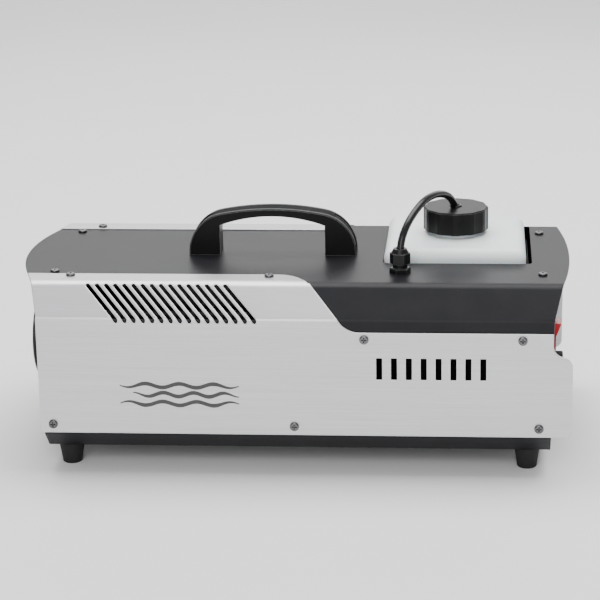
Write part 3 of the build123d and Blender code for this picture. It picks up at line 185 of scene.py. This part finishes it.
def finish_of(name, colour, shade, rough, metal=0.0, grain=1200, relief=0.15, depth=0.0002,
              stretch=(1, 1, 1), broad=40, edge=None, edge_radius=0.0006, joint=None, **sockets):
    """A colour that drifts to a shade, with uneven roughness, a fine grain and paler edges, part
    wear and part painted highlight.

    edge is the colour of the edges, part wear and part painted highlight, and the reach of the
    painted shade in recesses and along joints is given in metres.
    """
    made, tree, shader = new_material(name)
    drift = remap(tree, noise(tree, broad, 4, stretch), 0, 1)
    colour_out = blend_colours(tree, drift, colour, shade)
    # Edge mask: where an edge colour is given, edges take it, part wear and part painted
    # highlight.
    edge_wear_and_highlight, rounded = edge_mask(tree, edge_radius)
    if edge is not None:
        colour_out = blend_colours(tree, edge_wear_and_highlight, colour_out, edge)
    # Painted shade: recesses and joints darkened towards a dim copy of the shade colour.
    if joint is not None:
        painted_shade = tuple(c * PAINTED_SHADE_LEVEL for c in shade)
        colour_out = blend_colours(tree, painted_crevice_shade(tree, joint), painted_shade, colour_out)
    tree.links.new(colour_out, shader.inputs["Base Color"])
    fine = noise(tree, grain, 2, stretch)
    tree.links.new(remap(tree, fine, rough[0], rough[1]), shader.inputs["Roughness"])
    tree.links.new(bump(tree, fine, relief, depth, rounded), shader.inputs["Normal"])
    shader.inputs["Metallic"].default_value = metal
    for socket, value in sockets.items():
        shader.inputs[socket.replace("_", " ")].default_value = value
    return made


def brushed_finish(name, colour, shade, rough):
    """Sheet metal brushed along X: long fine scratches in relief, in roughness and in tone."""
    made, tree, shader = new_material(name)
    long_grain = noise(tree, 1.0, 5, (9, 900, 900), 0.7)
    bands = noise(tree, 1.0, 3, (2.5, 150, 150), 0.6)
    clouds = noise(tree, 9, 2)
    tone = blend_colours(tree, remap(tree, long_grain, 0, 1), colour, shade)
    banded = tuple(c * BAND_SHADE for c in colour)
    tone = blend_colours(tree, remap(tree, bands, 0, 0.35), tone, banded)
    # Edges pale towards near white: part wear, part painted highlight.
    edge_wear_and_highlight, rounded = edge_mask(tree, 0.0013)
    tone = blend_colours(tree, edge_wear_and_highlight, tone, SILVER_EDGE_WEAR_AND_HIGHLIGHT)
    tree.links.new(tone, shader.inputs["Base Color"])
    hazy = tree.nodes.new("ShaderNodeMath")      # the scratches' roughness, with a little haze
    hazy.operation = "MULTIPLY_ADD"
    hazy.inputs[1].default_value = 0.06
    tree.links.new(remap(tree, clouds, 0, 1), hazy.inputs[0])
    tree.links.new(remap(tree, long_grain, rough[0], rough[1]), hazy.inputs[2])
    tree.links.new(hazy.outputs["Value"], shader.inputs["Roughness"])
    tree.links.new(bump(tree, long_grain, 0.12, 0.00008, rounded), shader.inputs["Normal"])
    shader.inputs["Metallic"].default_value = 0.92
    return made


def grey(value):
    """A neutral tone with a trace of blue."""
    return (value, value, value * 1.03)


# Edge colours are part wear, part painted highlight; the black sheet and the screws also get
# painted shade in recesses and joints.
FINISHES = {
    "black_sheet": finish_of("powder_coat_black", (0.0075, 0.0075, 0.0095), (0.011, 0.011, 0.0135),
                             (0.34, 0.46), grain=1500, relief=0.2, depth=0.00012,
                             edge=grey(0.03), edge_radius=0.0014, joint=0.003,
                             Specular_IOR_Level=0.2),
    "silver_sheet": brushed_finish("brushed_silver", grey(0.67), grey(0.57), (0.32, 0.44)),
    "bay_sheet": finish_of("bay_black", grey(0.012), grey(0.02), (0.5, 0.7)),
    "screw_steel": finish_of("plated_steel", grey(0.16), grey(0.09), (0.16, 0.3), metal=1.0,
                             grain=2500, edge=grey(0.4), edge_radius=0.0002, joint=0.0018),
    "handle_plastic": finish_of("handle_nylon", grey(0.0035), grey(0.005), (0.3, 0.42),
                                grain=2200, relief=0.2, edge=grey(0.3), edge_radius=0.0009,
                                Specular_IOR_Level=0.14),
    "grip_rubber": finish_of("grip_rubber", grey(0.006), grey(0.012), (0.6, 0.8), grain=1800,
                             relief=0.35, Specular_IOR_Level=0.08),
    "tank_plastic": finish_of("tank_polythene", (0.93, 0.94, 0.945), (0.89, 0.9, 0.905),
                              (0.34, 0.46), grain=500, relief=0.08, broad=25,
                              Subsurface_Weight=0.35, Subsurface_Scale=0.006),
    "cap_plastic": finish_of("cap_polythene", grey(0.004), grey(0.006), (0.3, 0.42), grain=1600,
                             edge=grey(0.16), edge_radius=0.0009, Specular_IOR_Level=0.17),
    "nylon_black": finish_of("nylon_black", grey(0.004), grey(0.006), (0.24, 0.36), grain=1800,
                             edge=grey(0.14), edge_radius=0.0005, Specular_IOR_Level=0.25),
    "hose_rubber": finish_of("hose_rubber", grey(0.005), grey(0.008), (0.16, 0.26), grain=900,
                             relief=0.06, Specular_IOR_Level=0.4),
    "foot_rubber": finish_of("foot_rubber", grey(0.009), grey(0.014), (0.6, 0.8), grain=1400,
                             relief=0.4, Specular_IOR_Level=0.3),
    "rocker_red": finish_of("rocker_red", (0.62, 0.015, 0.02), (0.5, 0.01, 0.015), (0.16, 0.26),
                            grain=1200, relief=0.05, Coat_Weight=0.3),
    "clear_tube": finish_of("clear_tube", (0.75, 0.76, 0.74), (0.68, 0.69, 0.67), (0.2, 0.3)),
    "brass": finish_of("brass", (0.72, 0.5, 0.2), (0.6, 0.42, 0.17), (0.22, 0.4), metal=1.0,
                       edge=(0.85, 0.66, 0.35)),
    "heater_cast": finish_of("cast_aluminium", grey(0.42), grey(0.3), (0.45, 0.7), metal=1.0,
                             grain=700, relief=0.5),
    "insulation": finish_of("glass_felt", (0.66, 0.63, 0.55), (0.5, 0.47, 0.4), (0.8, 0.95),
                            grain=900, relief=0.8, depth=0.0006),
    "bright_steel": finish_of("inner_steel", grey(0.05), grey(0.03), (0.4, 0.6), metal=1.0),
    "coil_wire": finish_of("coil_tape", (0.42, 0.16, 0.04), (0.3, 0.11, 0.03), (0.3, 0.5),
                           stretch=(6, 1, 1), grain=300, relief=0.3),
    "board_green": finish_of("board_green", (0.02, 0.16, 0.06), (0.01, 0.1, 0.04), (0.25, 0.4)),
    "transformer_yellow": finish_of("transformer_tape", (0.55, 0.38, 0.04), (0.42, 0.28, 0.03),
                                    (0.3, 0.5)),
    "fuse_glass": finish_of("fuse_glass", (0.85, 0.9, 0.9), (0.75, 0.8, 0.8), (0.05, 0.12),
                            relief=0.0, Transmission_Weight=0.6),
}


def paint_nodes():
    """Gives every CAD piece the finish of its material slot."""
    slots = {part["node"]: part["material_slot"] for part in frame["record"]["subparts"]}
    for name, node in frame["nodes"].items():
        if len(node.material_slots):
            for place in node.material_slots:
                place.material = FINISHES[slots[name]]
        else:
            node.data.materials.append(FINISHES[slots[name]])


paint_nodes()


# ---------------------------------------------------------------- building helpers
def circle(sides):
    """Evenly spaced angles once round."""
    return [2 * math.pi * k / sides for k in range(sides)]


def skin(body, rings, closed=False):
    """Faces between each ring of points and the next; closed joins the last one to the first."""
    after = rings[1:] + rings[:1] if closed else rings[1:]
    sides = len(rings[0])
    for first, second in zip(rings, after):
        for k in range(sides):
            n = (k + 1) % sides
            body.faces.new((first[k], first[n], second[n], second[k]))


def mesh_from(body, name, smooth=True):
    """The bmesh as a mesh of that name."""
    mesh = bpy.data.meshes.new(name)
    body.to_mesh(mesh)
    body.free()
    if smooth:
        mesh.shade_smooth()
    return mesh


def link(obj, body, slot, finish=None):
    """Puts a piece in the scene on its body, with its slot's finish unless another is given."""
    bpy.context.scene.collection.objects.link(obj)
    obj.data.materials.append(finish or FINISHES[slot])
    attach(obj, body)
    return obj


# ---------------------------------------------------------------- the fluid hose
GLAND = (99.15, -64.5)           # where the hose leaves the gland: X, Y in millimetres
CAP = (148.5, 33.0)              # where it goes into the cap
# The arch as the CAD has it: millimetres from the gland towards the cap, and height.
HOSE_ARCH = [(0, 187), (0, 200.4), (12.2, 215.3), (29.2, 225.2), (48.8, 231.8), (75.8, 231.7),
             (103.6, 220.5), (109.0, 206.6)]
HOSE_LENGTH, HOSE_DIAMETER = 0.143, 0.0068


def hose_route():
    """The arch's points in metres."""
    reach = math.dist(GLAND, CAP)
    return [((GLAND[0] + (CAP[0] - GLAND[0]) * d / reach) * MM,
             (GLAND[1] + (CAP[1] - GLAND[1]) * d / reach) * MM, z * MM) for d, z in HOSE_ARCH]


def spline_points(route):
    """The smooth line of a NURBS spline with the route's points as its control points."""
    curve = bpy.data.curves.new("route", "CURVE")
    curve.dimensions = "3D"
    curve.resolution_u = 14
    spline = curve.splines.new("NURBS")
    spline.points.add(len(route) - 1)
    for point, place in zip(spline.points, route):
        point.co = (*place, 1)
    spline.order_u = 3
    spline.use_endpoint_u = True
    carrier = bpy.data.objects.new("route", curve)
    line = bpy.data.meshes.new_from_object(carrier)
    points = [v.co.copy() for v in line.vertices]
    bpy.data.objects.remove(carrier)
    bpy.data.meshes.remove(line)
    return points


def tube_mesh(name, points, radius, sides=28):
    """A round tube along the points, closed at both ends."""
    body = bmesh.new()
    across = None
    rings = []
    for i, point in enumerate(points):
        ahead = (points[min(i + 1, len(points) - 1)] - points[max(i - 1, 0)]).normalized()
        across = ahead.orthogonal() if across is None else across - ahead * across.dot(ahead)
        across.normalize()
        other = ahead.cross(across)
        rings.append([body.verts.new(point + radius * (across * math.cos(a) + other * math.sin(a)))
                      for a in circle(sides)])
    skin(body, rings)
    body.faces.new(list(reversed(rings[0])))
    body.faces.new(rings[-1])
    bmesh.ops.recalc_face_normals(body, faces=body.faces)
    return mesh_from(body, name)


def make_hose():
    """Rubber hose from the gland on the cover, up and over, into the middle of the tank's cap."""
    route = hose_route()
    points = spline_points(route)
    hose = bpy.data.objects.new("hose_arch", tube_mesh("hose_arch", points, HOSE_DIAMETER / 2))
    bpy.context.scene.collection.objects.link(hose)
    hose.data.materials.append(FINISHES["hose_rubber"])
    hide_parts("fluid_hose")
    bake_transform(hose)


make_hose()


# ---------------------------------------------------------------- grommet and pump spring
def turned_mesh(name, profile, centre, sides=48):
    """A closed profile of (radius, height) turned about an upright axis."""
    body = bmesh.new()
    rings = [[body.verts.new((centre[0] + r * math.cos(a), centre[1] + r * math.sin(a), z))
              for a in circle(sides)] for r, z in profile]
    skin(body, rings, closed=True)
    bmesh.ops.recalc_face_normals(body, faces=body.faces)
    return mesh_from(body, name)


def make_grommet():
    """Rubber grommet that stands on the bush and closes the cap's hole round the hose."""
    seat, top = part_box("cap_bush")[1].z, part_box("tank_cap")[1].z
    profile = [(0.0057, seat), (0.0057, top), (0.0055, top + 0.0009), (0.0049, top + 0.0014),
               (0.0040, top + 0.0012), (0.0030, top), (0.0028, seat)]
    mesh = turned_mesh("hose_grommet", profile, (CAP[0] * MM, CAP[1] * MM))
    link(bpy.data.objects.new("hose_grommet", mesh), "cap_bush_set", "hose_rubber")


make_grommet()


def make_spring():
    """The pump's return spring: a wound wire, made at one length to fill the CAD spring's box."""
    low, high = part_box("pump_spring")
    turns, steps, wire = 9, 16, 0.00035          # steps in each turn, and the wire's radius
    coil = (high.z - low.z) / 2 - wire
    start, end = low.x + wire, high.x - wire
    middle = (low + high) / 2
    points = []
    for i in range(turns * steps + 1):
        a = 2 * math.pi * i / steps
        points.append(Vector((start + (end - start) * i / (turns * steps),
                              middle.y + coil * math.cos(a), middle.z + coil * math.sin(a))))
    mesh = tube_mesh("return_spring", points, wire, sides=8)
    spring = link(bpy.data.objects.new("return_spring", mesh), "case", "bright_steel")
    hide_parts("pump_spring")
    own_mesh(spring)


make_spring()


# ---------------------------------------------------------------- printed mark on the left panel
def make_mark():
    """A generic print where the panel has its marking: three rows of fog waves."""
    made, tree, shader = new_material("print_grey")
    tree.links.new(blend_colours(tree, remap(tree, noise(tree, 600, 3), 0, 1), grey(0.035),
                                 grey(0.055)), shader.inputs["Base Color"])
    tree.links.new(remap(tree, noise(tree, 1500), 0.5, 0.62), shader.inputs["Roughness"])
    left, right, low, high = -0.1515, -0.0435, 0.0645, 0.0885
    rows, waves, steps = 3, 3.5, 96
    margin, swing, half, short = 0.0035, 0.0018, 0.0019, 0.012
    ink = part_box("left_side_panel")[0].y - 0.00006       # just proud of the panel
    body = bmesh.new()
    for row in range(rows):
        middle = low + margin + (high - low - 2 * margin) * row / (rows - 1)
        inset = short if row == 1 else 0.0
        upper, lower = [], []
        for i in range(steps + 1):
            t = i / steps
            x = left + inset + (right - left - inset) * t
            z = middle + swing * math.sin(2 * math.pi * (t * waves + row * 0.25))
            thick = half * min(1, 0.25 + 4 * t, 0.25 + 4 * (1 - t))     # tapers at both ends
            upper.append(body.verts.new((x, ink, z + thick)))
            lower.append(body.verts.new((x, ink, z - thick)))
        for i in range(steps):
            body.faces.new((lower[i], lower[i + 1], upper[i + 1], upper[i]))
    mesh = mesh_from(body, "panel_mark", smooth=False)
    link(bpy.data.objects.new("panel_mark", mesh), "case", "silver_sheet", made)


make_mark()


# ---------------------------------------------------------------- floor, light
def make_stage():
    """A plain pale floor that curves up far behind the machine."""
    body = bmesh.new()
    front, bend, radius, steps = -4.0, 2.2, 1.2, 16
    top, half_width = 5.0, 5
    profile = [(front, 0.0), (bend, 0.0)]
    profile += [(bend + radius * math.sin(a), radius - radius * math.cos(a))
                for a in [math.radians(90) * i / steps for i in range(1, steps + 1)]]
    profile.append((bend + radius, top))
    left, right = [[body.verts.new((x, y, z)) for y, z in profile]
                   for x in (-half_width, half_width)]
    for i in range(len(profile) - 1):
        body.faces.new((left[i], right[i], right[i + 1], left[i + 1]))
    mesh = mesh_from(body, "floor")
    floor = bpy.data.objects.new("floor", mesh)
    made, tree, shader = new_material("floor_paper")
    tree.links.new(blend_colours(tree, remap(tree, noise(tree, 3, 3), 0, 1), (0.89, 0.89, 0.88),
                                 (0.91, 0.91, 0.9)), shader.inputs["Base Color"])
    tree.links.new(remap(tree, noise(tree, 200), 0.6, 0.75), shader.inputs["Roughness"])
    mesh.materials.append(made)
    bpy.context.scene.collection.objects.link(floor)


def add_light(name, place, aim, size, power):
    """A rectangular white lamp at the place, turned to the aim."""
    data = bpy.data.lights.new(name, "AREA")
    data.shape = "RECTANGLE"
    data.size, data.size_y = size
    data.energy = power
    lamp = bpy.data.objects.new(name, data)
    lamp.location = place
    lamp.rotation_mode = "QUATERNION"
    lamp.rotation_quaternion = (Vector(aim) - Vector(place)).to_track_quat("-Z", "Y")
    bpy.context.scene.collection.objects.link(lamp)


def make_lights():
    """A pale room, with soft light from above and behind and a tall weaker lamp in front."""
    world = bpy.data.worlds.new("studio")
    world.use_nodes = True
    room = world.node_tree.nodes["Background"]
    room.inputs["Color"].default_value = (0.97, 0.98, 1.0, 1)
    room.inputs["Strength"].default_value = 0.62
    bpy.context.scene.world = world
    middle = (0, 0, 0.1)
    add_light("key_above", (0.1, 0.45, 2.2), middle, (2.6, 1.5), 74)
    add_light("front_soft", (-0.1, -2.9, 1.5), middle, (1.6, 2.6), 50)
    add_light("back_soft", (0.2, 2.1, 1.2), (0, 0.6, 0.1), (2.6, 1.0), 16)


make_stage()
make_lights()
